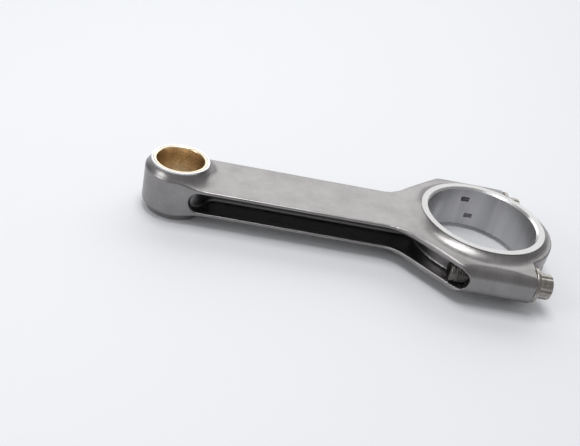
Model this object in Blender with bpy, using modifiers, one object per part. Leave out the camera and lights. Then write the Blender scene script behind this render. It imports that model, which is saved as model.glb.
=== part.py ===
"""H-beam connecting rod lying flat: the rod runs along +X to its big end, and both bores are vertical."""

import math

import bmesh
import bpy
from mathutils import Vector

# Driving sizes, in metres.
CENTRES = 0.1556  # from the pin axis to the crankpin axis
BIG_BORE = 0.0565  # the bores are diameters
BIG_WIDTH = 0.0239  # across the two thrust faces
BIG_RING_LAND = 0.0042  # width of the raised thrust ring
BIG_FILLET_RUN = 0.00705  # from the ring's edge out to where its fillet ends
BIG_FOOT_THICKNESS = 0.017
PIN_BORE = 0.02355
BUSH_WALL = 0.0014
SMALL_WIDTH = 0.0271
EYE_RING_LAND = 0.000975
EYE_SIDE_WALL = 0.003325
EYE_FILLET_RUN = 0.00755

BEAM_WIDTH = 0.0338
BEAM_THICKNESS = 0.0142
BEAM_FLANGE = 0.0018  # steel above and below the channel
WEB_THICKNESS = 0.006
CHANNEL_FLOOR_FILLET = 0.006
CHANNEL_END = 0.0115  # from the parting line up to the channel's round end
EYE_WALL = 0.0045  # steel left between the eye's bore and the channel
HOUSING_WALL = 0.0052  # steel left between the crankpin bore and the channel

BOLT_THREAD = 0.0111
THREAD_DEPTH = 0.00065
BOLT_LENGTH = 0.0415  # under the head
THREAD_LENGTH = 0.021
BOLT_FLANGE = 0.0172
BOLT_FLANGE_THICKNESS = 0.0024
BOLT_HEAD_FLATS = 0.0113
BOLT_HEAD_HEIGHT = 0.0068
BOLT_RECESS = 0.0056
BOLT_RECESS_DEPTH = 0.0016
SLEEVE_WALL = 0.00065
SLEEVE_LENGTH = 0.008
SLEEVE_TO_BORE = 0.00075  # steel left between a sleeve's pocket and the crankpin bore

CAP_HEIGHT = 0.021  # from the parting line to the bolt seats
CAP_CROWN = 0.00875  # steel round the bore, midway between the seats
CAP_GROOVE_WIDTH = 0.0026
CAP_GROOVE_DEPTH = 0.0022
SEAT_CLEARANCE = 0.0019  # round a bolt's flange, in its spot-faced seat
BOSS_SIDE_WALL = 0.0017  # steel left between a sleeve's pocket and the side of its boss
BOSS_ROUNDING = 0.007
BOSS_ABOVE_PARTING = 0.0135
SHOULDER_ANGLE = math.radians(42)
SHOULDER_CORNER = 0.005
SHOULDER_FILLET = 0.018

RING_STEP = 0.0006  # straight drop at the edge of each raised ring
BORE_CHAMFER = 0.001
BUSH_CHAMFER = 0.0005
EYE_CHAMFER = 0.0003
TANG_DEPTH = 0.0012
TANG_WIDTH = 0.0026
TANG_CUTTER_RADIUS = 0.0075
TANG_OFFSET = 0.0049  # from the middle plane to the middle of a tang notch

GAP = 0.0003  # between two pieces that touch
LAP = 0.0002  # how far a joined shape reaches into the one it joins
OVERCUT = 0.005  # how far a cutter runs past the surface

# Worked out from the sizes above.
HALF_GAP = GAP / 2
BUSH_OUTSIDE = PIN_BORE + 2 * BUSH_WALL
EYE_BORE = BUSH_OUTSIDE + 2 * GAP
EYE_RING = EYE_BORE + 2 * EYE_RING_LAND
EYE_OUTSIDE = EYE_BORE + 2 * EYE_SIDE_WALL
EYE_FOOT_RADIUS = EYE_RING / 2 + EYE_FILLET_RUN
BIG_RING = BIG_BORE + 2 * BIG_RING_LAND
BIG_FOOT_RADIUS = BIG_RING / 2 + BIG_FILLET_RUN
CHANNEL_HEIGHT = BEAM_THICKNESS - 2 * BEAM_FLANGE
BOLT_SHANK = BOLT_THREAD - 2 * THREAD_DEPTH
HOLE_RADIUS = BOLT_THREAD / 2 + GAP
SLEEVE_BORE_RADIUS = HOLE_RADIUS + SLEEVE_WALL + GAP
SLEEVE_POCKET = SLEEVE_LENGTH / 2 + GAP
SEAT_RADIUS = BOLT_FLANGE / 2 + SEAT_CLEARANCE
BOLT_Y = BIG_BORE / 2 + SLEEVE_TO_BORE + SLEEVE_BORE_RADIUS
BOSS_Y = BOLT_Y + SLEEVE_BORE_RADIUS + BOSS_SIDE_WALL
BLANK_Y = BOSS_Y + LAP  # the blank's side, before the boss section trims it
BOLT_TIP = CAP_HEIGHT - BOLT_LENGTH
CAP_RADIUS = BIG_BORE / 2 + CAP_CROWN
TOP = max(BIG_WIDTH, SMALL_WIDTH)
HEAD_END = CAP_HEIGHT + GAP + BOLT_FLANGE_THICKNESS + BOLT_HEAD_HEIGHT
FRONT = max(CAP_RADIUS, HEAD_END)
BACK = CENTRES + EYE_OUTSIDE / 2
PLACE = ((BACK - FRONT) / 2, 0.0, SMALL_WIDTH / 2)  # the crankpin axis in the world


def clear_scene():
    for old in list(bpy.data.objects):
        bpy.data.objects.remove(old)


def add_collection(name):
    collection = bpy.data.collections.new(name)
    bpy.context.scene.collection.children.link(collection)
    return collection


def material(name, colour, roughness, metallic=1.0):
    made = bpy.data.materials.new(name)
    made.use_nodes = True
    shader = made.node_tree.nodes["Principled BSDF"]
    shader.inputs["Base Color"].default_value = (*colour, 1.0)
    shader.inputs["Roughness"].default_value = roughness
    shader.inputs["Metallic"].default_value = metallic
    return made


def arc(centre, radius, start, end, steps):
    """Points on a circle, from angle start to angle end."""
    angles = (start + (end - start) * i / steps for i in range(steps + 1))
    return [(centre[0] + radius * math.cos(a), centre[1] + radius * math.sin(a)) for a in angles]


def rounded(before, corner, after, radius, steps):
    """The corner of a polyline as an arc that meets both of its straight sides."""
    corner = Vector(corner)
    to_before = (Vector(before) - corner).normalized()
    to_after = (Vector(after) - corner).normalized()
    half = to_before.angle(to_after) / 2
    centre = corner + (to_before + to_after).normalized() * radius / math.sin(half)
    first = corner + to_before * radius / math.tan(half) - centre
    last = corner + to_after * radius / math.tan(half) - centre
    start = math.atan2(first.y, first.x)
    sweep = math.remainder(math.atan2(last.y, last.x) - start, math.tau)
    return arc(centre, radius, start, start + sweep, steps)


def mirrored(half):
    """A closed outline from the half whose last point lies on the X axis."""
    return half + [(x, -y) for x, y in reversed(half[:-1])]


def add_object(name, mesh, collection, paint=None):
    made = bpy.data.objects.new(name, mesh)
    collection.objects.link(made)
    made.parent = crankpin_axis
    if collection is cutters:
        made.hide_render = True
        made.display_type = "WIRE"
    if paint:
        mesh.materials.append(paint)
    return made


def plate(name, outline, thickness, collection, paint=None):
    """A flat outline given a thickness, half of it on each side of its plane."""
    curve = bpy.data.curves.new(name, "CURVE")
    curve.dimensions = "2D"
    curve.fill_mode = "BOTH"
    curve.extrude = thickness / 2
    spline = curve.splines.new("POLY")
    spline.points.add(len(outline) - 1)
    for point, (x, y) in zip(spline.points, outline):
        point.co = (x, y, 0.0, 1.0)
    spline.use_cyclic_u = True
    drawn = bpy.data.objects.new(name + "_outline", curve)
    collection.objects.link(drawn)
    graph = bpy.context.evaluated_depsgraph_get()
    mesh = bpy.data.meshes.new_from_object(drawn.evaluated_get(graph))
    bpy.data.objects.remove(drawn)
    shape = bmesh.new()
    shape.from_mesh(mesh)
    bmesh.ops.remove_doubles(shape, verts=shape.verts, dist=1e-6)
    bmesh.ops.recalc_face_normals(shape, faces=shape.faces)
    shape.to_mesh(mesh)
    shape.free()
    mesh.shade_smooth()
    mesh.set_sharp_from_angle(angle=math.radians(30))
    return add_object(name, mesh, collection, paint)


def turned(name, profile, steps, collection, paint=None, ring=False):
    """A profile of (radius, height) points, spun about its own Z axis. A ring's profile is closed."""
    ends = [(i, i + 1) for i in range(len(profile) - 1)]
    if ring:
        ends.append((len(profile) - 1, 0))
    mesh = bpy.data.meshes.new(name)
    mesh.from_pydata([(radius, 0.0, height) for radius, height in profile], ends, [])
    made = add_object(name, mesh, collection, paint)
    spin = made.modifiers.new("spin", "SCREW")
    spin.steps = steps
    spin.render_steps = steps
    spin.use_merge_vertices = True
    spin.merge_threshold = 1e-6
    return made


def along_x(piece, place=(0.0, 0.0, 0.0)):
    """Turns a piece so that its own Z axis points along X, and puts it at a place."""
    piece.rotation_euler = (0.0, math.pi / 2, 0.0)
    piece.location = place
    return piece


def boolean(piece, tool, operation="DIFFERENCE"):
    step = piece.modifiers.new(operation.lower() + "_" + tool.name, "BOOLEAN")
    step.operation = operation
    step.solver = "EXACT"
    step.object = tool


def rod_outline():
    """The rod from above: the upper half of the big end, its shoulders, the beam and the round eye."""
    parting = (-HALF_GAP, BLANK_Y)
    boss = (-BOSS_ABOVE_PARTING, BLANK_Y)
    slope = (BOSS_Y - BEAM_WIDTH / 2) / math.tan(SHOULDER_ANGLE)
    neck = (-BOSS_ABOVE_PARTING - slope, BEAM_WIDTH / 2)
    # The beam's side runs from the neck to where it touches the eye's circle.
    reach = math.hypot(neck[0] + CENTRES, neck[1])
    touch = math.atan2(neck[1], neck[0] + CENTRES) + math.acos(EYE_OUTSIDE / 2 / reach)
    eye = arc((-CENTRES, 0.0), EYE_OUTSIDE / 2, touch, math.pi, 14)
    half = [parting]
    half += rounded(parting, boss, neck, SHOULDER_CORNER, 5)
    half += rounded(boss, neck, eye[0], SHOULDER_FILLET, 7)
    return mirrored(half + eye)


def cap_outline():
    """The cap from above, before its bolt seats are spot-faced."""
    meets_seat = math.acos(CAP_HEIGHT / CAP_RADIUS)
    half = [(HALF_GAP, BLANK_Y), (CAP_HEIGHT, BLANK_Y)]
    half += arc((0.0, 0.0), CAP_RADIUS, meets_seat, 0.0, 16)
    return mirrored(half)


def face_profile(ring_radius, half_width, foot_radius, foot_height, reach, end_height, steps):
    """Half of an end's turned side faces: a raised ring, a concave fillet, then a slight cone."""
    wall = half_width - RING_STEP
    drop = wall - foot_height
    radius = ((foot_radius - ring_radius) ** 2 + drop**2) / (2 * drop)
    start = -math.pi / 2 - math.asin((foot_radius - ring_radius) / radius)
    fillet = arc((foot_radius, foot_height + radius), radius, start, -math.pi / 2, steps)
    upper = [(0.0, half_width), (ring_radius, half_width), *fillet, (reach, end_height)]
    return upper + [(r, -z) for r, z in reversed(upper)]


def boss_section():
    """Across the big end, with its bosses' outer edges rounded over, seen along the rod."""
    inner = BOSS_Y - BOSS_ROUNDING
    over_cone = BIG_FOOT_THICKNESS / 2 + LAP * 1.5
    corner = arc((over_cone - BOSS_ROUNDING, inner), BOSS_ROUNDING, 0.0, math.pi / 2, 8)
    quarter = [(TOP, 0.0), (TOP, inner - LAP), *corner]
    upper = quarter + [(-z, y) for z, y in reversed(quarter)]
    return upper + [(z, -y) for z, y in reversed(upper[1:-1])]


def channel_plan(side):
    """The side channel from above: round the eye's wall, along the web and round the housing."""
    half_web = WEB_THICKNESS / 2
    fillet = CHANNEL_FLOOR_FILLET
    outside = BOSS_Y + OVERCUT
    eye_radius = EYE_BORE / 2 + EYE_WALL
    eye_turn = math.asin((half_web + fillet) / (eye_radius + fillet))
    eye_corner = -CENTRES + (eye_radius + fillet) * math.cos(eye_turn)
    housing_radius = BIG_BORE / 2 + HOUSING_WALL
    housing_turn = math.asin((half_web + fillet) / (housing_radius + fillet))
    housing_corner = -(housing_radius + fillet) * math.cos(housing_turn)
    end = math.acos((CHANNEL_END - LAP) / housing_radius)
    down, quarter = -math.pi / 2, math.pi / 2
    plan = [(-CENTRES, outside)]
    plan += arc((-CENTRES, 0.0), eye_radius, quarter, eye_turn, 8)
    plan += arc((eye_corner, half_web + fillet), fillet, math.pi + eye_turn, math.pi + quarter, 5)[1:]
    plan += arc((housing_corner, half_web + fillet), fillet, down, -housing_turn, 5)
    plan += arc((0.0, 0.0), housing_radius, math.pi - housing_turn, math.pi - end, 10)[1:]
    plan += [(-CHANNEL_END + LAP, outside)]
    return [(x, side * y) for x, y in plan]


def channel_side():
    """The channel seen from the rod's side: a slot with round ends."""
    radius = CHANNEL_HEIGHT / 2
    eye_side = math.sqrt(max((EYE_BORE / 2 + EYE_WALL) ** 2 - (BEAM_WIDTH / 2) ** 2, 0.0))
    first = -CENTRES + eye_side + radius
    last = -CHANNEL_END - radius
    quarter = math.pi / 2
    slot = arc((last, 0.0), radius, -quarter, quarter, 12)
    return slot + arc((first, 0.0), radius, quarter, 3 * quarter, 12)


def channel_cutter(name, side):
    cutter = plate(name, channel_plan(side), TOP, cutters)
    slot = plate(name + "_slot", channel_side(), 4 * BOSS_Y, cutters)
    slot.rotation_euler = (math.pi / 2, 0.0, 0.0)
    boolean(cutter, slot, "INTERSECT")
    return cutter


def bore_cutter(name, radius, half_width, chamfer, steps):
    """A bore with a chamfer at each end."""
    flare = radius + chamfer + OVERCUT
    height = half_width + OVERCUT
    upper = [(0.0, height), (flare, height), (radius, half_width - chamfer)]
    return turned(name, upper + [(r, -z) for r, z in reversed(upper)], steps, cutters)


def bolt_cutter(name, side):
    """The bolt's hole, the alignment sleeve's pocket across the parting line, and the seat."""
    profile = [
        (0.0, FRONT + OVERCUT),
        (SEAT_RADIUS, FRONT + OVERCUT),
        (SEAT_RADIUS, CAP_HEIGHT),
        (HOLE_RADIUS, CAP_HEIGHT),
        (HOLE_RADIUS, SLEEVE_POCKET),
        (SLEEVE_BORE_RADIUS, SLEEVE_POCKET),
        (SLEEVE_BORE_RADIUS, -SLEEVE_POCKET),
        (HOLE_RADIUS, -SLEEVE_POCKET),
        (HOLE_RADIUS, BOLT_TIP - 2 * GAP),
        (0.0, BOLT_TIP - 2 * GAP),
    ]
    return along_x(turned(name, profile, 32, cutters), (0.0, side * BOLT_Y, 0.0))


def tang_cutter(name, offset):
    """A shallow notch in the bore wall at the parting line, which keeps a bearing shell from turning."""
    shape = bmesh.new()
    bmesh.ops.create_cone(shape, cap_ends=True, segments=48, radius1=TANG_CUTTER_RADIUS,
                          radius2=TANG_CUTTER_RADIUS, depth=TANG_WIDTH)
    mesh = bpy.data.meshes.new(name)
    shape.to_mesh(mesh)
    shape.free()
    cutter = add_object(name, mesh, cutters)
    cutter.location = (0.0, BIG_BORE / 2 + TANG_DEPTH - TANG_CUTTER_RADIUS, offset)
    return cutter


def cap_groove():
    """The groove that leaves two ribs round the cap, between its bolt seats."""
    half_angle = math.asin((BOLT_Y - SEAT_RADIUS + HALF_GAP) / CAP_RADIUS)
    outer = arc((0.0, 0.0), CAP_RADIUS + OVERCUT, -half_angle, half_angle, 20)
    inner = arc((0.0, 0.0), CAP_RADIUS - CAP_GROOVE_DEPTH, half_angle, -half_angle, 24)
    return plate("groove_cutter", outer + inner, CAP_GROOVE_WIDTH, cutters)


def twelve_points(flats):
    """Two hexagons laid across each other, with their tips taken off."""
    valley = flats / 2 / math.cos(math.pi / 12)
    tip = (valley + flats / 2 / math.cos(math.pi / 6)) / 2
    radii = (tip, valley)
    turns = (math.pi * i / 12 for i in range(24))
    return [(radii[i % 2] * math.cos(a), radii[i % 2] * math.sin(a)) for i, a in enumerate(turns)]


def bolt(name, side):
    """A flanged twelve-point cap screw. Its origin is on its axis, at its seat."""
    flange = BOLT_FLANGE / 2
    thread = BOLT_THREAD / 2
    shank = BOLT_SHANK / 2
    flange_top = GAP + BOLT_FLANGE_THICKNESS
    thread_top = THREAD_LENGTH - BOLT_LENGTH
    step = thread - shank
    profile = [
        (0.0, flange_top),
        (flange * 0.75, flange_top),
        (flange, GAP + BOLT_FLANGE_THICKNESS * 0.6),
        (flange, GAP),
        (shank, GAP),
        (shank, thread_top + step),
        (thread, thread_top),
        (thread, -BOLT_LENGTH + step),
        (shank, -BOLT_LENGTH),
        (0.0, -BOLT_LENGTH),
    ]
    made = turned(name, profile, 32, parts, material(name, (0.27, 0.25, 0.22), 0.35))
    head = plate(name + "_head", twelve_points(BOLT_HEAD_FLATS), BOLT_HEAD_HEIGHT + LAP, cutters)
    head.location.z = flange_top + (BOLT_HEAD_HEIGHT - LAP) / 2
    head_end = flange_top + BOLT_HEAD_HEIGHT
    recess = BOLT_RECESS / 2
    dimple = [
        (0.0, head_end + OVERCUT),
        (recess, head_end + OVERCUT),
        (recess, head_end - BOLT_RECESS_DEPTH),
        (0.0, head_end - BOLT_RECESS_DEPTH - recess * 0.4),
    ]
    hollow = turned(name + "_recess", dimple, 24, cutters)
    head.parent = made
    hollow.parent = made
    boolean(made, head, "UNION")
    boolean(made, hollow)
    return along_x(made, (CAP_HEIGHT, side * BOLT_Y, 0.0))


def sleeve(name, side):
    """A hollow dowel round the bolt, half in the rod and half in the cap, which lines the two up."""
    inner = HOLE_RADIUS
    outer = inner + SLEEVE_WALL
    end = SLEEVE_LENGTH / 2
    bevel = SLEEVE_WALL / 2
    profile = [(inner, end), (outer - bevel, end), (outer, end - bevel)]
    profile += [(r, -z) for r, z in reversed(profile)]
    made = turned(name, profile, 32, parts, material(name, (0.45, 0.45, 0.46), 0.3), ring=True)
    return along_x(made, (0.0, side * BOLT_Y, 0.0))


def bush():
    """The bronze bush pressed into the eye, its ends flush with the eye's rings."""
    inner, outer, end = PIN_BORE / 2, BUSH_OUTSIDE / 2, SMALL_WIDTH / 2
    profile = [(inner + BUSH_CHAMFER, end), (outer, end), (outer, -end), (inner + BUSH_CHAMFER, -end)]
    profile += [(inner, -end + BUSH_CHAMFER), (inner, end - BUSH_CHAMFER)]
    made = turned("small_end_bush", profile, 64, parts, material("bronze", (0.6, 0.42, 0.2), 0.3), ring=True)
    made.location.x = -CENTRES
    return made


def face_shapes():
    """The turned side faces of the two ends, and the flat sides of the beam."""
    under_beam = BEAM_THICKNESS / 2 - LAP
    corner = math.hypot(BOSS_Y, CAP_HEIGHT) + GAP
    big = turned("big_end_faces", face_profile(BIG_RING / 2, BIG_WIDTH / 2, BIG_FOOT_RADIUS,
                 BIG_FOOT_THICKNESS / 2, corner, under_beam, 6), 72, cutters)
    foot = BEAM_THICKNESS / 2
    small = turned("small_end_faces", face_profile(EYE_RING / 2, SMALL_WIDTH / 2, EYE_FOOT_RADIUS,
                   foot, EYE_FOOT_RADIUS + OVERCUT, under_beam, 7), 56, cutters)
    small.location.x = -CENTRES
    half = BOSS_Y + OVERCUT
    beam = plate("beam_faces", [(OVERCUT, half), (-BACK - OVERCUT, half), (-BACK - OVERCUT, -half),
                 (OVERCUT, -half)], BEAM_THICKNESS, cutters)
    boolean(beam, big, "UNION")
    boolean(beam, small, "UNION")
    return big, beam


def rod_and_cap():
    steel = material("forged_steel", (0.40, 0.39, 0.38), 0.45)
    big_faces, rod_faces = face_shapes()
    section = along_x(plate("boss_section", boss_section(), 4 * BACK, cutters))
    bore = bore_cutter("big_bore", BIG_BORE / 2, BIG_WIDTH / 2, BORE_CHAMFER, 72)
    eye_bore = bore_cutter("eye_bore", EYE_BORE / 2, SMALL_WIDTH / 2, EYE_CHAMFER, 64)
    eye_bore.location.x = -CENTRES
    holes = [bolt_cutter("hole_left", 1), bolt_cutter("hole_right", -1)]

    rod = plate("rod_body", rod_outline(), 2 * TOP, parts, steel)
    boolean(rod, rod_faces, "INTERSECT")
    boolean(rod, section, "INTERSECT")
    channels = [channel_cutter("channel_left", 1), channel_cutter("channel_right", -1)]
    for tool in [*channels, bore, eye_bore, *holes, tang_cutter("rod_tang", TANG_OFFSET)]:
        boolean(rod, tool)

    cap = plate("rod_cap", cap_outline(), 2 * TOP, parts, steel)
    boolean(cap, big_faces, "INTERSECT")
    boolean(cap, section, "INTERSECT")
    for tool in [bore, *holes, cap_groove(), tang_cutter("cap_tang", -TANG_OFFSET)]:
        boolean(cap, tool)


clear_scene()
parts = add_collection("connecting_rod")
cutters = add_collection("cutters")
crankpin_axis = bpy.data.objects.new("crankpin_axis", None)
crankpin_axis.location = PLACE
parts.objects.link(crankpin_axis)
rod_and_cap()
bush()
for hand, where in (("left", 1), ("right", -1)):
    bolt("cap_bolt_" + hand, where)
    sleeve("alignment_sleeve_" + hand, where)
bpy.context.view_layer.update()
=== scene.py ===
import math

import bmesh
import bpy
import numpy as np
from mathutils import Matrix, Vector


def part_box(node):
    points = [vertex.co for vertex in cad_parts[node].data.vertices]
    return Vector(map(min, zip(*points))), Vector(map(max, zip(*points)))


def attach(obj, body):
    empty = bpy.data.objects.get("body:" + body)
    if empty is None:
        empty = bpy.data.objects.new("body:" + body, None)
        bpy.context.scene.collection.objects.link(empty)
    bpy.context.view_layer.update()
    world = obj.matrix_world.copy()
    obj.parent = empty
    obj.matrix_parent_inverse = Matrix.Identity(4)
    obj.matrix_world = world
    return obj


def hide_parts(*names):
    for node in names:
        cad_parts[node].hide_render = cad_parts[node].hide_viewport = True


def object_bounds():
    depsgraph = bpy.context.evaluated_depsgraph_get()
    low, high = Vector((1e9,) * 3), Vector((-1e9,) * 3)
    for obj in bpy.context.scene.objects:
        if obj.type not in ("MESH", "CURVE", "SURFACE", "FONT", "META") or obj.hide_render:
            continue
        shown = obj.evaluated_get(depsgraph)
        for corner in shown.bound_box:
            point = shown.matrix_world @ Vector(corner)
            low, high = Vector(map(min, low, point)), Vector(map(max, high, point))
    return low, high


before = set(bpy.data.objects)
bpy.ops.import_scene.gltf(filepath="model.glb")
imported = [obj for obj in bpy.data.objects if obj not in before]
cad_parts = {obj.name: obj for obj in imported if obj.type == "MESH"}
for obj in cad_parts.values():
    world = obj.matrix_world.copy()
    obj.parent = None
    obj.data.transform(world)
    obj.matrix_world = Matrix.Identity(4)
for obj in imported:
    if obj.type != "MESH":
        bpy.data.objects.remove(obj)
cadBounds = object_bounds()
scene = bpy.context.scene

# Shapes are drawn in millimetres round the crankpin axis, and moved into the frame at the end.
mm = 0.001
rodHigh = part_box("rod_body")[1]
capLow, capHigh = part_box("rod_cap")
bushLow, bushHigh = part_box("small_end_bush")
screwLow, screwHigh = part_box("cap_bolt_left")
crankpin = Vector(((rodHigh.x + capLow.x) / 2, 0.0, (bushLow.z + bushHigh.z) / 2))
wristPin = Vector(((bushLow.x + bushHigh.x) / 2, 0.0, crankpin.z))
centres = (crankpin.x - wristPin.x) / mm
screwSide = (screwLow.y + screwHigh.y) / 2 / mm
toFrame = Matrix.Translation(crankpin) @ Matrix.Scale(mm, 4)
print("frame loaded, centres", round(centres, 2), "mm apart")


def arc(cx, cy, radius, start, end, steps):
    turns = np.linspace(start, end, steps + 1)
    return [(cx + radius * math.cos(a), cy + radius * math.sin(a)) for a in turns]


def roundCorner(before, corner, after, radius, steps):
    corner = Vector(corner)
    back = (Vector(before) - corner).normalized()
    ahead = (Vector(after) - corner).normalized()
    half = back.angle(ahead) / 2
    middle = corner + (back + ahead).normalized() * radius / math.sin(half)
    first = corner + back * radius / math.tan(half) - middle
    last = corner + ahead * radius / math.tan(half) - middle
    start = math.atan2(first.y, first.x)
    sweep = math.remainder(math.atan2(last.y, last.x) - start, math.tau)
    return arc(middle.x, middle.y, radius, start, start + sweep, steps)


def mirrored(half):
    return half + [(x, -y) for x, y in reversed(half[:-1])]


def bothSides(upper):
    return upper + [(r, -z) for r, z in reversed(upper)]


def addObject(name, shape):
    bmesh.ops.recalc_face_normals(shape, faces=shape.faces)
    mesh = bpy.data.meshes.new(name)
    shape.to_mesh(mesh)
    shape.free()
    made = bpy.data.objects.new(name, mesh)
    scene.collection.objects.link(made)
    return made


def plate(name, outline, low, high, turn=None):
    shape = bmesh.new()
    face = shape.faces.new([shape.verts.new((x, y, low)) for x, y in outline])
    raised = bmesh.ops.extrude_face_region(shape, geom=[face])["geom"]
    corners = [item for item in raised if isinstance(item, bmesh.types.BMVert)]
    bmesh.ops.translate(shape, vec=(0, 0, high - low), verts=corners)
    if turn:
        bmesh.ops.transform(shape, matrix=turn, verts=shape.verts)
    return addObject(name, shape)


def turned(name, profile, steps, place=(0, 0, 0), turn=None):
    shape = bmesh.new()
    rings = []
    for radius, height in profile:
        if radius < 1e-6:
            rings.append([shape.verts.new((0, 0, height))])
        else:
            rings.append([shape.verts.new((x, y, height))
                          for x, y in arc(0, 0, radius, 0, math.tau, steps)[:-1]])
    for lower, upper in zip(rings, rings[1:]):
        for i in range(steps):
            corners = [lower[i % len(lower)], lower[(i + 1) % steps % len(lower)],
                       upper[(i + 1) % steps % len(upper)], upper[i % len(upper)]]
            corners = list(dict.fromkeys(corners))
            if len(corners) > 2:
                shape.faces.new(corners)
    if turn:
        bmesh.ops.transform(shape, matrix=turn, verts=shape.verts)
    bmesh.ops.translate(shape, vec=place, verts=shape.verts)
    return addObject(name, shape)


def settle(piece):
    graph = bpy.context.evaluated_depsgraph_get()
    mesh = bpy.data.meshes.new_from_object(piece.evaluated_get(graph))
    piece.modifiers.clear()
    piece.data = mesh
    return piece


def combine(piece, tools, operation, solver):
    for tool in tools:
        step = piece.modifiers.new(tool.name, "BOOLEAN")
        step.operation = operation
        step.solver = solver
        step.object = tool
    settle(piece)
    for tool in tools:
        bpy.data.objects.remove(tool)
    return piece


# The rod's own blank: outline, side faces, channels. Sizes in millimetres.
rodSizes = {
    "bossSide": 44.3,
    "bossAbove": 13.5,
    "shoulderAngle": 42,
    "shoulderCorner": 5.0,
    "shoulderFillet": 18.0,
    "beamWidth": 33.8,
    "beamThickness": 14.2,
    "eyeOutside": 33.6,
    "eyeRing": 28.9,
    "eyeFoot": 44.0,
    "bigRing": 64.9,
    "bigFoot": 79.0,
    "bigFootThickness": 17.0,
    "bigReach": 49.4,
    "ringStep": 0.6,
    "bossRounding": 7.0,
    "bigBore": 56.5,
    "boreChamfer": 1.0,
    "eyeBore": 26.42,
    "eyeBoreChamfer": 0.25,
    "eyeHole": 13.475,
    "webThickness": 6.0,
    "channelHeight": 10.6,
    "channelFloorFillet": 6.0,
    "eyeWall": 3.0,
    "channelStart": 7.4,
    "housingWall": 5.2,
    "channelEnd": 11.5,
    "skinDetail": 0.55,
    "skinSoftening": 3,
}
capSizes = {
    "height": 21.0,
    "radius": 37.0,
    "seatRadius": 10.5,
    "grooveWidth": 2.6,
    "grooveDepth": 2.2,
    "skinSoftening": 4,
}
fitSizes = {
    "boltHole": 5.62,
    "sleevePocket": 6.53,
    "sleeveHalf": 4.03,
    "holeDepth": 21.1,
    "partingGap": 0.02,
    "tangDepth": 1.2,
    "tangWidth": 2.6,
    "tangCutter": 7.5,
    "tangOffset": 4.9,
}
bigHalf = (capHigh.z - capLow.z) / 2 / mm
eyeHalf = (bushHigh.z - bushLow.z) / 2 / mm
overCut = 6.0
clear = 30.0  # past every upper and lower face
trim = 0.2  # what the softening takes off an edge
closeBy = 0.05
notchReach = 1.4
acrossX = Matrix.Rotation(math.pi / 2, 4, "Y")
standing = Matrix.Rotation(math.pi / 2, 4, "X")


def rodOutline():
    s = rodSizes
    side, half = s["bossSide"] + trim, s["beamWidth"] / 2
    parting, boss = (2.0, side), (-s["bossAbove"], side)
    slope = (s["bossSide"] - half) / math.tan(math.radians(s["shoulderAngle"]))
    neck = (-s["bossAbove"] - slope, half)
    reach = math.hypot(neck[0] + centres, neck[1])
    touch = math.atan2(neck[1], neck[0] + centres) + math.acos(s["eyeOutside"] / 2 / reach)
    eye = arc(-centres, 0, s["eyeOutside"] / 2, touch, math.pi, 90)
    outline = [parting]
    outline += roundCorner(parting, boss, neck, s["shoulderCorner"], 16)
    outline += roundCorner(boss, neck, eye[0], s["shoulderFillet"], 28)
    return outline + eye


def faceProfile(ring, half, foot, footHeight, reach, edgeHeight):
    top = half - rodSizes["ringStep"]
    drop, run = top - footHeight, foot - ring
    radius = (run ** 2 + drop ** 2) / (2 * drop)
    lean = math.asin(run / radius)
    fillet = arc(foot, footHeight + radius, radius, -math.pi / 2 - lean, -math.pi / 2, 32)
    hidden = rodSizes["ringStep"] - 0.05
    crown = [(0, top + hidden), (ring - hidden / math.tan(lean), top + hidden)]
    return bothSides(crown + fillet + [(reach, edgeHeight)])


def bossSection():
    s = rodSizes
    inner, rounding = s["bossSide"] - s["bossRounding"], s["bossRounding"]
    over = s["bigFootThickness"] / 2 + 0.3
    corner = arc(over - rounding, inner, rounding, 0, math.pi / 2, 28)
    quarter = [(40, 0), (40, inner - trim)] + corner
    upper = quarter + [(-z, y) for z, y in reversed(quarter)]
    return upper + [(z, -y) for z, y in reversed(upper[1:-1])]


def bigFaces(name):
    s = rodSizes
    profile = faceProfile(s["bigRing"] / 2, bigHalf, s["bigFoot"] / 2, s["bigFootThickness"] / 2,
                          s["bigReach"], s["beamThickness"] / 2 - trim)
    return turned(name, profile, 240)


def channelPlan(side):
    s = rodSizes
    half, fillet, outside = s["webThickness"] / 2, s["channelFloorFillet"], s["bossSide"] + overCut
    eye = s["eyeHole"] + s["eyeWall"]
    eyeTurn = math.asin((half + fillet) / (eye + fillet))
    eyeCorner = -centres + (eye + fillet) * math.cos(eyeTurn)
    housing = s["bigBore"] / 2 + s["housingWall"]
    housingTurn = math.asin((half + fillet) / (housing + fillet))
    housingCorner = -(housing + fillet) * math.cos(housingTurn)
    end = math.acos((s["channelEnd"] - trim) / housing)
    down, quarter = -math.pi / 2, math.pi / 2
    plan = [(-centres, outside)]
    plan += arc(-centres, 0, eye, quarter, eyeTurn, 30)
    plan += arc(eyeCorner, half + fillet, fillet, math.pi + eyeTurn, math.pi + quarter, 16)[1:]
    plan += arc(housingCorner, half + fillet, fillet, down, -housingTurn, 16)
    plan += arc(0, 0, housing, math.pi - housingTurn, math.pi - end, 40)[1:]
    plan += [(-s["channelEnd"] + trim, outside)]
    return [(x, side * y) for x, y in plan]


def channelReach():
    s = rodSizes
    radius = s["channelHeight"] / 2
    return -centres + s["channelStart"] + radius, -s["channelEnd"] - radius, radius


def channelCutter(name, side):
    first, last, radius = channelReach()
    quarter = math.pi / 2
    slot = arc(last, 0, radius, -quarter, quarter, 32)
    slot += arc(first, 0, radius, quarter, 3 * quarter, 32)
    cutter = plate(name, channelPlan(side), -20, 20)
    roundEnded = plate(name + "Slot", slot, -100, 100, standing)
    return combine(cutter, [roundEnded], "INTERSECT", "EXACT")


def boreCutter(name, radius, half, chamfer, steps, place=(0, 0, 0)):
    height = half + overCut
    upper = [(0, height), (radius + chamfer + overCut, height), (radius, half - chamfer)]
    return turned(name, bothSides(upper), steps, place)


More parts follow.
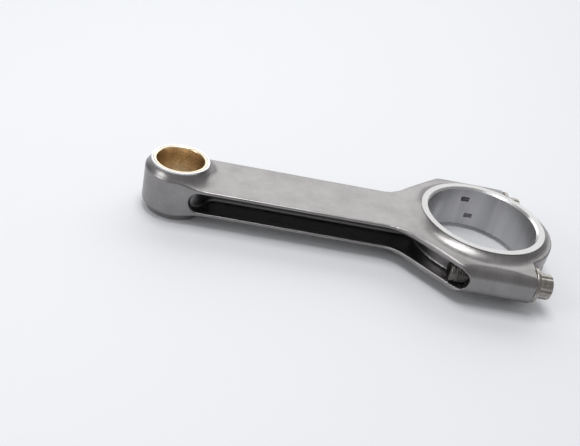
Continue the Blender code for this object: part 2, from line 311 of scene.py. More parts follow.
def holeCutter(name, side):
    c, f = capSizes, fitSizes
    beyond = 2 * clear
    profile = [(0, beyond), (c["seatRadius"], beyond), (c["seatRadius"], c["height"] + 0.4),
               (c["seatRadius"] - 0.4, c["height"]), (f["boltHole"] + 0.3, c["height"]),
               (f["boltHole"], c["height"] - 0.3), (f["boltHole"], f["sleeveHalf"]),
               (f["sleevePocket"], f["sleeveHalf"]), (f["sleevePocket"], -f["sleeveHalf"]),
               (f["boltHole"], -f["sleeveHalf"]), (f["boltHole"], -f["holeDepth"]),
               (0, -f["holeDepth"])]
    return turned(name, profile, 96, (0, side * screwSide, 0), acrossX)


def tangCutter(name, height):
    f = fitSizes
    half = f["tangWidth"] / 2
    place = (0, rodSizes["bigBore"] / 2 + f["tangDepth"] - f["tangCutter"], height)
    profile = [(0, half), (f["tangCutter"], half), (f["tangCutter"], -half), (0, -half)]
    return turned(name, profile, 96, place)


def ringDisc(name, radius, half, place=(0, 0, 0)):
    rounding = 0.15
    upper = [(0, half), (radius - rounding, half), (radius, half - rounding)]
    return turned(name, bothSides(upper), 256, place)


# Gives a forged blank a slight unevenness along its own skin; its softened edges come from the
# remesh in softSkin.
def unevenSkinTree():
    tree = bpy.data.node_groups.new("unevenSkin", "GeometryNodeTree")
    face = tree.interface
    face.new_socket("Skin", in_out="INPUT", socket_type="NodeSocketGeometry")
    face.new_socket("Lump Size", in_out="INPUT", socket_type="NodeSocketFloat")
    face.new_socket("Lump Height", in_out="INPUT", socket_type="NodeSocketFloat")
    face.new_socket("Seed", in_out="INPUT", socket_type="NodeSocketFloat")
    face.new_socket("Finish", in_out="INPUT", socket_type="NodeSocketMaterial")
    face.new_socket("Skin", in_out="OUTPUT", socket_type="NodeSocketGeometry")
    add, link = tree.nodes.new, tree.links.new
    given, out = add("NodeGroupInput"), add("NodeGroupOutput")
    noise = add("ShaderNodeTexNoise")
    noise.noise_dimensions = "4D"
    noise.inputs["Detail"].default_value = 3
    scale = mathNode(tree, "DIVIDE", 1.0, given.outputs["Lump Size"])
    link(add("GeometryNodeInputPosition").outputs[0], noise.inputs["Vector"])
    link(given.outputs["Seed"], noise.inputs["W"])
    link(scale, noise.inputs["Scale"])
    rise = mathNode(tree, "MULTIPLY", mathNode(tree, "SUBTRACT", noise.outputs[0], 0.5),
                    given.outputs["Lump Height"])
    push = add("ShaderNodeVectorMath")
    push.operation = "SCALE"
    link(add("GeometryNodeInputNormal").outputs[0], push.inputs[0])
    link(rise, push.inputs["Scale"])
    move = add("GeometryNodeSetPosition")
    link(given.outputs["Skin"], move.inputs["Geometry"])
    link(push.outputs[0], move.inputs["Offset"])
    finishTree(tree, move.outputs[0], given, out)
    return tree


def mathNode(tree, operation, *values):
    made = tree.nodes.new("ShaderNodeMath")
    made.operation = operation
    for socket, value in zip(made.inputs, values):
        if isinstance(value, (int, float)):
            socket.default_value = value
        else:
            tree.links.new(value, socket)
    return made.outputs[0]


def finishTree(tree, geometry, given, out):
    add, link = tree.nodes.new, tree.links.new
    smooth, real, paint = (add("GeometryNodeSetShadeSmooth"), add("GeometryNodeRealizeInstances"),
                           add("GeometryNodeSetMaterial"))
    link(geometry, smooth.inputs["Geometry"])
    link(smooth.outputs[0], real.inputs["Geometry"])
    link(real.outputs[0], paint.inputs["Geometry"])
    link(given.outputs["Finish"], paint.inputs["Material"])
    link(paint.outputs[0], out.inputs[0])


def growTree(piece, tree, values):
    step = piece.modifiers.new(tree.name, "NODES")
    step.node_group = tree
    for item in tree.interface.items_tree:
        if item.in_out == "INPUT" and item.name in values:
            step[item.identifier] = values[item.name]
    piece.update_tag()
    return settle(piece)


def softSkin(blank, softening, seed, finish):
    remesh = blank.modifiers.new("skin", "REMESH")
    remesh.mode = "VOXEL"
    remesh.voxel_size = rodSizes["skinDetail"]
    soften = blank.modifiers.new("soften", "SMOOTH")
    soften.factor = 0.5
    soften.iterations = softening
    settle(blank)
    return growTree(blank, unevenSkin, {"Lump Size": 5.0, "Lump Height": 0.05, "Seed": seed,
                                        "Finish": finish})


def makeRod(finishes):
    s = rodSizes
    blank = plate("rodForging", mirrored(rodOutline()), -clear, clear)
    half = s["bossSide"] + overCut
    faces = plate("rodFaces", [(overCut, half), (-190, half), (-190, -half), (overCut, -half)],
                  -s["beamThickness"] / 2, s["beamThickness"] / 2)
    eyeFaces = turned("eyeFaces", faceProfile(s["eyeRing"] / 2, eyeHalf, s["eyeFoot"] / 2,
                      s["beamThickness"] / 2, s["eyeFoot"] / 2 + 5, s["beamThickness"] / 2 - trim),
                      200, (-centres, 0, 0))
    combine(faces, [bigFaces("rodBigFaces"), eyeFaces], "UNION", "EXACT")
    section = plate("rodSection", bossSection(), -300, 300, acrossX)
    combine(blank, [faces, section], "INTERSECT", "EXACT")
    combine(blank, [channelCutter("channelLeft", 1), channelCutter("channelRight", -1)],
            "DIFFERENCE", "EXACT")
    softSkin(blank, s["skinSoftening"], 1.0, finishes[0])
    combine(blank, [ringDisc("bigDisc", s["bigRing"] / 2, bigHalf),
                    ringDisc("eyeDisc", s["eyeRing"] / 2, eyeHalf, (-centres, 0, 0))],
            "UNION", "MANIFOLD")
    gap = fitSizes["partingGap"]
    out = 2 * clear
    beyond = plate("beyondParting", [(-gap, out), (out, out), (out, -out), (-gap, -out)],
                   -clear, clear)
    cutters = [beyond, boreCutter("bigBore", s["bigBore"] / 2, bigHalf, s["boreChamfer"], 256),
               boreCutter("eyeBore", s["eyeBore"] / 2, eyeHalf, s["eyeBoreChamfer"], 192,
                         (-centres, 0, 0)),
               holeCutter("holeLeft", 1), holeCutter("holeRight", -1),
               tangCutter("rodTang", fitSizes["tangOffset"])]
    return combine(blank, cutters, "DIFFERENCE", "MANIFOLD")


def makeCap(finishes):
    s, c = rodSizes, capSizes
    side = s["bossSide"] + trim
    crown = arc(0, 0, c["radius"], math.acos(c["height"] / c["radius"]), 0, 90)
    blank = plate("capForging", mirrored([(-2, side), (c["height"], side)] + crown), -clear, clear)
    section = plate("capSection", bossSection(), -100, 100, acrossX)
    combine(blank, [bigFaces("capFaces"), section], "INTERSECT", "EXACT")
    turn = math.asin((screwSide - c["seatRadius"]) / c["radius"]) + 0.02
    outer = arc(0, 0, c["radius"] + overCut, -turn, turn, 60)
    inner = arc(0, 0, c["radius"] - c["grooveDepth"], turn, -turn, 60)
    groove = plate("groove", outer + inner, -c["grooveWidth"] / 2, c["grooveWidth"] / 2)
    combine(blank, [groove], "DIFFERENCE", "EXACT")
    softSkin(blank, c["skinSoftening"], 2.0, finishes[0])
    combine(blank, [ringDisc("capDisc", s["bigRing"] / 2, bigHalf)], "UNION", "MANIFOLD")
    gap = fitSizes["partingGap"]
    out = 2 * clear
    beyond = plate("beyondParting", [(gap, out), (-out, out), (-out, -out), (gap, -out)],
                   -clear, clear)
    cutters = [beyond, boreCutter("capBore", s["bigBore"] / 2, bigHalf, s["boreChamfer"], 256),
               holeCutter("capHoleLeft", 1), holeCutter("capHoleRight", -1),
               tangCutter("capTang", -fitSizes["tangOffset"])]
    return combine(blank, cutters, "DIFFERENCE", "MANIFOLD")


# Screws, bush and sleeves follow one rule: a profile swept round an axis, with twelve points on
# its head and a thread on its shank where the sizes ask for them.
screwSizes = {
    "length": 41.5,
    "shank": 4.9,
    "thread": 5.55,
    "threadLength": 20.8,
    "pitch": 1.27,
    "threadDepth": 0.62,
    "nose": 3.2,
    "flange": 8.6,
    "flangeTop": 2.7,
    "headEnd": 9.5,
    "headFlats": 11.4,
    "headTips": 6.28,
    "recess": 2.8,
    "recessDepth": 1.6,
}
bushSizes = {"inside": 11.775, "outside": 13.175, "chamfer": 0.5}
sleeveSizes = {"inside": 5.85, "outside": 6.5, "half": 4.0, "chamfer": 0.3}


def turnedPartTree():
    tree = bpy.data.node_groups.new("turnedPart", "GeometryNodeTree")
    face = tree.interface
    face.new_socket("Profile", in_out="INPUT", socket_type="NodeSocketGeometry")
    face.new_socket("Steps Round", in_out="INPUT", socket_type="NodeSocketInt")
    for name in ("Head Flats", "Head Base", "Thread Start", "Thread End", "Pitch", "Thread Depth"):
        face.new_socket(name, in_out="INPUT", socket_type="NodeSocketFloat")
    face.new_socket("Finish", in_out="INPUT", socket_type="NodeSocketMaterial")
    face.new_socket("Part", in_out="OUTPUT", socket_type="NodeSocketGeometry")
    add, link = tree.nodes.new, tree.links.new
    given, out = add("NodeGroupInput"), add("NodeGroupOutput")
    want = given.outputs

    # A flat grid: one row for each profile point, one column for each step round.
    count = add("GeometryNodeAttributeDomainSize")
    link(want["Profile"], count.inputs[0])
    rows = count.outputs["Point Count"]
    grid = add("GeometryNodeMeshGrid")
    grid.inputs["Size X"].default_value = 1
    grid.inputs["Size Y"].default_value = 1
    link(mathNode(tree, "ADD", want["Steps Round"], 1), grid.inputs["Vertices X"])
    link(rows, grid.inputs["Vertices Y"])
    where = add("ShaderNodeSeparateXYZ")
    link(add("GeometryNodeInputPosition").outputs[0], where.inputs[0])
    angle = mathNode(tree, "MULTIPLY", mathNode(tree, "ADD", where.outputs[0], 0.5), math.tau)
    row = mathNode(tree, "MULTIPLY", mathNode(tree, "ADD", where.outputs[1], 0.5),
                   mathNode(tree, "SUBTRACT", rows, 1))
    point = add("GeometryNodeSampleIndex")
    point.data_type = "FLOAT_VECTOR"
    link(want["Profile"], point.inputs["Geometry"])
    link(add("GeometryNodeInputPosition").outputs[0], point.inputs["Value"])
    link(mathNode(tree, "ROUND", row), point.inputs["Index"])
    drawn = add("ShaderNodeSeparateXYZ")
    link(point.outputs[0], drawn.inputs[0])
    radius, height = drawn.outputs[0], drawn.outputs[2]

    # Twelve points: two hexagons laid across each other.
    offTip = mathNode(tree, "PINGPONG", angle, math.pi / 12)
    lean = mathNode(tree, "COSINE", mathNode(tree, "SUBTRACT", math.pi / 6, offTip))
    star = mathNode(tree, "DIVIDE", mathNode(tree, "MULTIPLY", want["Head Flats"], 0.5), lean)
    pointed = mathNode(tree, "SMOOTH_MIN", radius, star, 0.25)
    onHead = mathNode(tree, "GREATER_THAN", height, want["Head Base"])

    # The thread: a ridge that climbs one pitch in each turn.
    climb = mathNode(tree, "SUBTRACT", mathNode(tree, "DIVIDE", height, want["Pitch"]),
                     mathNode(tree, "DIVIDE", angle, math.tau))
    wave = mathNode(tree, "PINGPONG", climb, 0.5)
    groove = add("ShaderNodeMapRange")
    groove.interpolation_type = "SMOOTHSTEP"
    for name, value in (("From Min", 0.04), ("From Max", 0.42), ("To Min", 0.0), ("To Max", 1.0)):
        groove.inputs[name].default_value = value
    link(wave, groove.inputs["Value"])
    afterStart = mathNode(tree, "GREATER_THAN", height, want["Thread Start"])
    beforeEnd = mathNode(tree, "LESS_THAN", height, want["Thread End"])
    inside = mathNode(tree, "MULTIPLY", afterStart, beforeEnd)
    cut = mathNode(tree, "MULTIPLY", mathNode(tree, "MULTIPLY", groove.outputs[0], inside),
                   want["Thread Depth"])

    shaped = mathNode(tree, "ADD", mathNode(tree, "MULTIPLY", pointed, onHead),
                      mathNode(tree, "MULTIPLY", radius, mathNode(tree, "SUBTRACT", 1, onHead)))
    final = mathNode(tree, "SUBTRACT", shaped, cut)
    place = add("ShaderNodeCombineXYZ")
    link(mathNode(tree, "MULTIPLY", final, mathNode(tree, "COSINE", angle)), place.inputs[0])
    link(mathNode(tree, "MULTIPLY", final, mathNode(tree, "SINE", angle)), place.inputs[1])
    link(height, place.inputs[2])
    move = add("GeometryNodeSetPosition")
    link(grid.outputs["Mesh"], move.inputs["Geometry"])
    link(place.outputs[0], move.inputs["Position"])
    weld = add("GeometryNodeMergeByDistance")
    weld.inputs["Distance"].default_value = 0.002
    link(move.outputs[0], weld.inputs["Geometry"])
    finishTree(tree, weld.outputs[0], given, out)
    return tree


def turnedPart(name, profile, steps, finish, **sizes):
    mesh = bpy.data.meshes.new(name)
    links = [(i, i + 1) for i in range(len(profile) - 1)]
    mesh.from_pydata([(r, 0, z) for r, z in profile], links, [])
    made = bpy.data.objects.new(name, mesh)
    scene.collection.objects.link(made)
    values = {"Steps Round": steps, "Head Flats": 1.0, "Head Base": 1000.0, "Thread Start": 1000.0,
              "Thread End": 1000.0, "Pitch": 1.0, "Thread Depth": 0.0, "Finish": finish}
    values.update(sizes)
    growTree(made, partTree, values)
    shape = bmesh.new()
    shape.from_mesh(made.data)
    bmesh.ops.recalc_face_normals(shape, faces=shape.faces)
    shape.to_mesh(made.data)
    shape.free()
    return made


def screwProfile():
    s = screwSizes
    end, top, recess = s["headEnd"], s["flangeTop"], s["recess"]
    head = [(0, end - s["recessDepth"] - 0.9), (recess - 0.15, end - s["recessDepth"]),
            (recess, end - s["recessDepth"] + 0.15), (recess, end - 0.3), (recess + 0.1, end - 0.1),
            (recess + 0.3, end)]
    head += [(5.0, end), (5.5, end - 0.08), (5.9, end - 0.3), (s["headTips"], end - 0.65)]
    head += [(s["headTips"], z) for z in np.linspace(end - 1.2, top + 0.35, 7)]
    head += [(s["headTips"], top + 0.1), (s["headTips"] + 0.25, top), (7.0, top - 0.03)]
    flange = [(8.0, top - 0.42), (8.3, top - 0.6), (8.5, top - 0.82), (s["flange"], top - 1.1),
              (s["flange"], 0.4), (8.5, 0.15), (8.3, 0.03), (s["shank"] + 0.5, 0.03),
              (s["shank"] + 0.1, -0.1), (s["shank"], -0.5)]
    start, tip = s["threadLength"] - s["length"], -s["length"]
    shank = [(s["shank"], z) for z in np.linspace(-2, start + 0.7, 6)]
    rows = int(round((s["threadLength"] - s["nose"]) / s["pitch"] * 12))
    thread = [(s["thread"], z) for z in np.linspace(start, tip + s["nose"], rows)]
    point = [(s["shank"], tip + s["nose"] - 0.35)]
    point += [(s["shank"] - inward, tip + height) for inward, height in
              ((0, 1.3), (0.2, 0.8), (0.6, 0.35), (1.2, 0.08), (1.8, 0))]
    point += [(0, tip)]
    return head + flange + shank + thread + point


def makeScrew(name, side, finish):
    s = screwSizes
    made = turnedPart(name, screwProfile(), 120, finish, **{
        "Head Flats": s["headFlats"], "Head Base": s["flangeTop"] + 0.05,
        "Thread Start": -s["length"] + s["nose"] - 0.1,
        "Thread End": s["threadLength"] - s["length"] + 0.1,
        "Pitch": s["pitch"], "Thread Depth": s["threadDepth"]})
    place = Matrix.Translation((capSizes["height"], side * screwSide, 0))
    made.data.transform(place @ acrossX)
    return made


def makeRing(name, inside, outside, half, chamfer, softening, finish, steps, matrix):
    profile = [(inside + chamfer, half), (outside - softening, half), (outside, half - softening),
               (outside, softening - half), (outside - softening, -half), (inside + chamfer, -half),
               (inside + chamfer * 0.3, -half + chamfer * 0.45), (inside, -half + chamfer * 1.3)]
    profile += [(inside, half - chamfer * 1.3), (inside + chamfer * 0.3, half - chamfer * 0.45),
                (inside + chamfer, half)]
    made = turnedPart(name, profile, steps, finish)
    made.data.transform(matrix)
    return made


# Finishes. Every pattern is read in metres on object coordinates, centred on its own axis.
finishSizes = {
    "forgedLight": (0.312, 0.301, 0.301),
    "forgedDark": (0.235, 0.226, 0.226),
    # painted shade: the colour that channels and shell notches are darkened towards
    "channelPaintedShade": (0.22, 0.214, 0.217),
    "facedSteel": (0.45, 0.448, 0.448),
    "facedDark": (0.33, 0.328, 0.328),
    # painted highlight: lighter colour for faced surfaces inside the edge radius
    "facedEdgeHighlight": (0.66, 0.66, 0.665),
    "honedSteel": (0.56, 0.556, 0.562),
    "honedDark": (0.40, 0.397, 0.405),
    "bronze": (0.88, 0.74, 0.54),
    "bronzeDeep": (0.62, 0.46, 0.28),
    "bronzeRim": (0.80, 0.70, 0.54),
    "screwLight": (0.42, 0.395, 0.37),
    "screwDark": (0.20, 0.188, 0.175),
    # painted shade: the colour of the shank and thread beyond the seat
    "screwShankShade": (0.13, 0.124, 0.118),
    "sleeveSteel": (0.55, 0.55, 0.56),
    "peenSize": 0.00042,
    "peenDepth": 0.00002,
}


class Finish:
    def __init__(self, name, centre, turn=(0, 0, 0)):
        self.made = bpy.data.materials.new(name)
        self.made.use_nodes = True
        self.tree = self.made.node_tree
        self.shader = self.tree.nodes["Principled BSDF"]
        self.shader.inputs["Metallic"].default_value = 1.0
        coords = self.add("ShaderNodeTexCoord")
        centred = self.add("ShaderNodeVectorMath")
        centred.operation = "SUBTRACT"
        centred.inputs[1].default_value = centre
        self.link(coords.outputs["Object"], centred.inputs[0])
        mapping = self.add("ShaderNodeMapping")
        mapping.inputs["Rotation"].default_value = turn
        self.link(centred.outputs[0], mapping.inputs["Vector"])
        self.place = mapping.outputs[0]

    def add(self, kind):
        return self.tree.nodes.new(kind)

    def link(self, a, b):
        self.tree.links.new(a, b)

    def math(self, operation, *values):
        return mathNode(self.tree, operation, *values)

    def noise(self, size, detail=2, stretch=(1, 1, 1), rough=0.5):
        scaled = self.add("ShaderNodeMapping")
        scaled.inputs["Scale"].default_value = stretch
        self.link(self.place, scaled.inputs["Vector"])
        made = self.add("ShaderNodeTexNoise")
        made.inputs["Scale"].default_value = 1 / size
        made.inputs["Detail"].default_value = detail
        made.inputs["Roughness"].default_value = rough
        self.link(scaled.outputs[0], made.inputs["Vector"])
        return made.outputs[0]

    def span(self, value, fromLow, fromHigh, low, high):
        made = self.add("ShaderNodeMapRange")
        for name, number in (("From Min", fromLow), ("From Max", fromHigh), ("To Min", low),
                             ("To Max", high)):
            made.inputs[name].default_value = number
        self.link(value, made.inputs["Value"])
        return made.outputs[0]

    def colours(self, factor, first, second):
        made = self.add("ShaderNodeMix")
        made.data_type = "RGBA"
        for socket, colour in ((made.inputs[6], first), (made.inputs[7], second)):
            if isinstance(colour, tuple):
                socket.default_value = (*colour, 1)
            else:
                self.link(colour, socket)
        self.link(factor, made.inputs[0])
        return made.outputs[2]

    def bump(self, height, depth, strength=1.0, under=None):
        made = self.add("ShaderNodeBump")
        made.inputs["Distance"].default_value = depth
        made.inputs["Strength"].default_value = strength
        self.link(height, made.inputs["Height"])
        if under:
            self.link(under, made.inputs["Normal"])
        return made.outputs[0]

    def radial(self):
        flat = self.add("ShaderNodeVectorMath")
        flat.operation = "MULTIPLY"
        flat.inputs[1].default_value = (1, 1, 0)
        self.link(self.place, flat.inputs[0])
        length = self.add("ShaderNodeVectorMath")
        length.operation = "LENGTH"
        self.link(flat.outputs[0], length.inputs[0])
        return length.outputs["Value"]

    def along(self, axis):
        parts = self.add("ShaderNodeSeparateXYZ")
        self.link(self.place, parts.inputs[0])
        return parts.outputs[axis]

    def wire(self, colour, roughness, normal=None):
        self.link(colour, self.shader.inputs["Base Color"])
        self.link(roughness, self.shader.inputs["Roughness"])
        if normal:
            self.link(normal, self.shader.inputs["Normal"])
        return self.made


def peenedSteel(name, centre):
    f = Finish(name, centre)
    c = finishSizes
    blotches = f.noise(0.011, 4, rough=0.6)
    grain = f.noise(c["peenSize"] * 1.7, 3, rough=0.7)
    base = f.colours(f.span(blotches, 0.35, 0.65, 0, 1), c["forgedDark"], c["forgedLight"])
    speckled = f.colours(f.span(grain, 0.3, 0.75, 0.0, 0.5), base, c["forgedDark"])
    # painted shade: the channelShade attribute darkens channels and shell notches
    shade = f.add("ShaderNodeAttribute")
    shade.attribute_name = "channelShade"
    coloured = f.colours(shade.outputs["Fac"], speckled, c["channelPaintedShade"])
    rough = f.math("ADD", f.span(blotches, 0.3, 0.7, 0.27, 0.35),
                   f.span(grain, 0.3, 0.7, -0.03, 0.06))
    dimples = f.add("ShaderNodeTexVoronoi")
    dimples.feature = "SMOOTH_F1"
    dimples.inputs["Scale"].default_value = 1 / c["peenSize"]
    f.link(f.place, dimples.inputs["Vector"])
    peened = f.bump(dimples.outputs["Distance"], c["peenDepth"], 0.8)
    return f.wire(coloured, rough, f.bump(f.noise(0.0016, 2), 0.00003, 0.5, peened))


def facedSteel(name, centre, edge):
    f = Finish(name, centre)
    c = finishSizes
    radius = f.radial()
    rings = f.add("ShaderNodeTexNoise")
    rings.noise_dimensions = "1D"
    rings.inputs["Scale"].default_value = 1 / 0.00022
    rings.inputs["Detail"].default_value = 3
    f.link(radius, rings.inputs["W"])
    turned = f.colours(f.span(rings.outputs[0], 0.3, 0.7, 0, 1), c["facedSteel"], c["facedDark"])
    # painted highlight: faces inside radius edge are coloured lighter (the bore chamfer on the big
    # end, the whole faced end on the eye)
    paintedHighlight = f.span(radius, edge * mm, (edge + 0.1) * mm, 1, 0)
    colour = f.colours(paintedHighlight, turned, c["facedEdgeHighlight"])
    rough = f.span(f.noise(0.006, 2), 0.3, 0.7, 0.2, 0.3)
    return f.wire(colour, rough, f.bump(rings.outputs[0], 0.000006, 0.8))


def honedSteel(name, centre):
    f = Finish(name, centre)
    c = finishSizes
    fine = f.noise(0.0004, 2, stretch=(0.05, 0.05, 1))
    streaks = f.noise(0.008, 3, stretch=(1, 1, 0.06))
    colour = f.colours(f.span(streaks, 0.3, 0.7, 0, 1), c["honedSteel"], c["honedDark"])
    rough = f.math("ADD", f.span(streaks, 0.3, 0.7, 0.27, 0.36),
                   f.span(fine, 0.3, 0.7, -0.03, 0.03))
    return f.wire(colour, rough, f.bump(fine, 0.000004, 0.7))


def boredBronze(name, centre):
    f = Finish(name, centre)
    c = finishSizes
    fine = f.noise(0.0004, 2, stretch=(0.04, 0.04, 1))
    patches = f.noise(0.005, 3, stretch=(1, 1, 0.08), rough=0.6)
    bored = f.colours(f.span(patches, 0.3, 0.75, 0, 1), c["bronze"], c["bronzeDeep"])
    rim = f.span(f.math("ABSOLUTE", f.along(2)), 0.01300, 0.01325, 0, 1)
    colour = f.colours(rim, bored, c["bronzeRim"])
    rough = f.math("ADD", f.span(patches, 0.3, 0.7, 0.22, 0.34),
                   f.span(fine, 0.3, 0.7, -0.03, 0.04))
    return f.wire(colour, rough, f.bump(fine, 0.000004, 0.35))


def screwSteel(name, centre):
    f = Finish(name, centre)
    c = finishSizes
    patches = f.noise(0.0028, 4, rough=0.65)
    grain = f.noise(0.00035, 2)
    head = f.colours(f.span(patches, 0.35, 0.7, 0, 1), c["screwLight"], c["screwDark"])
    # painted shade: the shank and thread past the seat are darker than the head
    colour = f.colours(f.span(f.along(0), -0.004, -0.001, 1, 0), head, c["screwShankShade"])
    rough = f.math("ADD", f.span(patches, 0.3, 0.7, 0.24, 0.36),
                   f.span(grain, 0.3, 0.7, -0.04, 0.05))
    return f.wire(colour, rough, f.bump(grain, 0.00001, 0.5))


def groundSleeve(name, centre):
    f = Finish(name, centre)
    c = finishSizes
    fine = f.noise(0.0003, 2, stretch=(1, 0.05, 0.05))
    colour = f.colours(f.span(fine, 0.3, 0.7, 0, 1), c["sleeveSteel"], (0.46, 0.46, 0.47))
    return f.wire(colour, f.span(fine, 0.3, 0.7, 0.2, 0.32), f.bump(fine, 0.000005, 0.6))


def faceTable(mesh):
    count = len(mesh.polygons)
    centre, normal = np.empty(count * 3), np.empty(count * 3)
    mesh.polygons.foreach_get("center", centre)
    mesh.polygons.foreach_get("normal", normal)
    return centre.reshape(-1, 3), normal.reshape(-1, 3)


# Which finish each face has: 0 forged, 1 faced, 2 honed, 3 the faced end of the eye.
def paintMachined(piece, finishes):
    s, c = rodSizes, capSizes
    mesh = piece.data
    centre, normal = faceTable(mesh)
    x, y, z = centre.T
    flat, level = np.abs(normal[:, 2]), np.abs(z)
    bigR, eyeR = np.hypot(x, y), np.hypot(x + centres, y)
    holeR = np.minimum(np.hypot(y - screwSide, z), np.hypot(y + screwSide, z))
    slots = np.zeros(len(x), np.int32)
    ring, eye = s["bigRing"] / 2, s["eyeRing"] / 2
    bore = s["bigBore"] / 2
    # ring faces and their chamfers, then the parting face, then the screw seats
    faced = (bigR < ring + 0.02) & (bigR > bore - 0.1)
    faced &= level > bigHalf - s["boreChamfer"] - 0.02
    faced &= (flat > 0.5) | (bigR > ring - 0.1)
    faced |= (np.abs(x) < closeBy) & (np.abs(normal[:, 0]) > 0.95)
    seat = (np.abs(x - c["height"]) < 0.45) & (holeR < c["seatRadius"] + 0.02)
    faced |= seat & (normal[:, 0] > 0.5)
    slots[faced] = 1
    slots[(bigR < bore + 0.02) & (flat < 0.5)] = 2
    # the shell notches keep the forged finish, so the painted shade from shadeHollows darkens them
    notch = (bigR > bore + closeBy) & (bigR < bore + notchReach) & (level < bigHalf - 2)
    slots[notch & (y > 20) & (np.abs(x) > 0.06)] = 0
    hole = (holeR < fitSizes["sleevePocket"] + closeBy) & (np.abs(normal[:, 0]) < 0.5)
    slots[hole & (x > -20)] = 2
    onEye = (eyeR < eye + 0.02) & (level > eyeHalf - 0.7)
    slots[onEye | (eyeR < s["eyeBore"] / 2 + closeBy)] = 3
    mesh.materials.clear()
    for finish in finishes:
        mesh.materials.append(finish)
    mesh.polygons.foreach_set("material_index", slots)


# The channels and the shell notches get painted shade: the forged colour darkens with depth into
# the channel, and fully in the notches.
def shadeHollows(piece, channel):
    first, last, radius = channelReach()
    mesh = piece.data
    place = np.empty(len(mesh.vertices) * 3)
    mesh.vertices.foreach_get("co", place)
    x, y, z = place.reshape(-1, 3).T
    outline = np.array(rodOutline())
    order = np.argsort(outline[:, 0])
    depth = np.interp(x, outline[order, 0], outline[order, 1]) - np.abs(y)
    inside = radius - np.hypot(x - np.clip(x, first, last), z)
    step = np.clip((inside + 0.5) / 0.5, 0, 1) * np.clip((depth - 0.1) / 0.5, 0, 1)
    bigR = np.hypot(x, y)
    # painted shade: the shell notches are fully darkened
    hollow = (bigR > 28.4) & (bigR < 30) & (np.abs(z) < bigHalf - 2) & (np.abs(x) > 0.06)
    step[hollow] = 1
    if not channel:
        step[~hollow] = 0
    shade = mesh.attributes.new("channelShade", "FLOAT", "POINT")
    shade.data.foreach_set("value", (step * step * (3 - 2 * step)).astype(np.float32))


def smoothForging(mesh):
    # Only machined faces have hard edges; the forging's own edges stay soft.
    finish = np.empty(len(mesh.polygons), np.int32)
    corners = np.empty(len(mesh.polygons), np.int32)
    mesh.polygons.foreach_get("material_index", finish)
    mesh.polygons.foreach_get("loop_total", corners)
    edges = np.empty(len(mesh.loops), np.int32)
    mesh.loops.foreach_get("edge_index", edges)
    machined = np.zeros(len(mesh.edges), np.int32)
    np.maximum.at(machined, edges, np.repeat(finish, corners))
    sharp = mesh.attributes["sharp_edge"]
    marks = np.empty(len(mesh.edges), bool)
    sharp.data.foreach_get("value", marks)
    sharp.data.foreach_set("value", marks & (machined > 0))


def placePiece(piece, body, node, forged=False):
    mesh = piece.data
    mesh.transform(toFrame)
    mesh.shade_smooth()
    mesh.set_sharp_from_angle(angle=math.radians(38))
    if forged:
        smoothForging(mesh)
    mesh.update()
    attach(piece, body)
    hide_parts(node)


unevenSkin = unevenSkinTree()
partTree = turnedPartTree()

rodSkin = peenedSteel("peenedForging", crankpin)
bigFaced = facedSteel("facedRing", crankpin, rodSizes["bigBore"] / 2 + rodSizes["boreChamfer"])
bigHoned = honedSteel("honedBore", crankpin)
eyeFaced = facedSteel("facedEye", wristPin, rodSizes["eyeRing"] / 2)

rodForging = makeRod([rodSkin])
paintMachined(rodForging, [rodSkin, bigFaced, bigHoned, eyeFaced])
shadeHollows(rodForging, True)
placePiece(rodForging, "rod", "rod_body", forged=True)
print("rod forging", len(rodForging.data.polygons), "faces")

capForging = makeCap([rodSkin])
paintMachined(capForging, [rodSkin, bigFaced, bigHoned])
shadeHollows(capForging, False)
placePiece(capForging, "cap", "rod_cap", forged=True)
print("cap forging", len(capForging.data.polygons), "faces")

b = bushSizes
eyeBush = makeRing("eyeBush", b["inside"], b["outside"], eyeHalf, b["chamfer"], 0.08,
                   boredBronze("boredBronze", wristPin), 192, Matrix.Translation((-centres, 0, 0)))
placePiece(eyeBush, "rod", "small_end_bush")

for hand, side in (("Left", 1), ("Right", -1)):
    node = hand.lower()
    axis = crankpin + Vector((capSizes["height"] * mm, side * screwSide * mm, 0))
    screw = makeScrew("capScrew" + hand, side, screwSteel("screwSteel" + hand, axis))
    placePiece(screw, "bolt_" + node, "cap_bolt_" + node)
    v = sleeveSizes
    sleeve = makeRing("sleeve" + hand, v["inside"], v["outside"], v["half"], v["chamfer"], 0.2,
                      groundSleeve("groundSleeve" + hand, axis), 96,
                      Matrix.Translation((0, side * screwSide, 0)) @ acrossX)
    placePiece(sleeve, "rod", "alignment_sleeve_" + node)
print("bush, screws and sleeves placed")

# Floor, light and camera.
studio = {
    "floorColour": (0.71, 0.722, 0.75),
    "worldStrength": 0.36,
    "backPower": 9.2,
    "overheadPower": 4.6,
    "sidePower": 1.6,
}


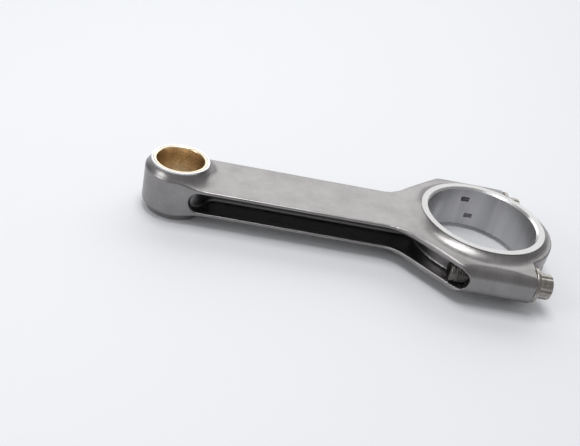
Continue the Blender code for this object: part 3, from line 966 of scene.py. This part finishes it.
def softLight(name, power, size, place, aim):
    lamp = bpy.data.lights.new(name, "AREA")
    lamp.shape = "RECTANGLE"
    lamp.size, lamp.size_y = size
    lamp.energy = power
    made = bpy.data.objects.new(name, lamp)
    made.location = place
    made.rotation_euler = (Vector(aim) - Vector(place)).to_track_quat("-Z", "Y").to_euler()
    scene.collection.objects.link(made)


floorMesh = bpy.data.meshes.new("floor")
edge = 6.0
corners = [(-edge, -edge, 0), (edge, -edge, 0), (edge, edge, 0), (-edge, edge, 0)]
floorMesh.from_pydata(corners, [], [(0, 1, 2, 3)])
floor = bpy.data.objects.new("floor", floorMesh)
floor.location.z = cadBounds[0].z
scene.collection.objects.link(floor)
paper = bpy.data.materials.new("palePaper")
paper.use_nodes = True
paperShader = paper.node_tree.nodes["Principled BSDF"]
paperShader.inputs["Base Color"].default_value = (*studio["floorColour"], 1)
paperShader.inputs["Roughness"].default_value = 0.6
floorMesh.materials.append(paper)

world = bpy.data.worlds.new("studio")
scene.world = world
world.use_nodes = True
world.node_tree.nodes["Background"].inputs[0].default_value = (1, 1, 1, 1)
world.node_tree.nodes["Background"].inputs[1].default_value = studio["worldStrength"]
softLight("backWall", studio["backPower"], (2.2, 0.9), (0.1, 0.95, 0.62), (0, 0, 0))
softLight("overhead", studio["overheadPower"], (0.55, 0.35), (-0.1, 0.0, 0.9), (0, 0, 0))
softLight("leftSide", studio["sidePower"], (0.35, 0.35), (-0.7, -0.35, 0.35), (0, 0, 0))
scene.view_settings.view_transform = "Standard"

lens = bpy.data.cameras.new("camera")
camera = bpy.data.objects.new("camera", lens)
scene.collection.objects.link(camera)
back = -Vector((0.109, 0.8424, -0.5277)).normalized()
right = Vector((-0.174, 0.5388, 0.8243)).cross(back).normalized()
up = back.cross(right)
camera.matrix_world = (Matrix.Translation(crankpin + Vector((-134.8, -344.6, 206.6)) * mm)
                       @ Matrix((right, up, back)).transposed().to_4x4())
lens.lens, lens.sensor_width = 49.42, 36
lens.shift_x, lens.shift_y = -0.021, -0.0047
lens.clip_start = 0.01
scene.camera = camera
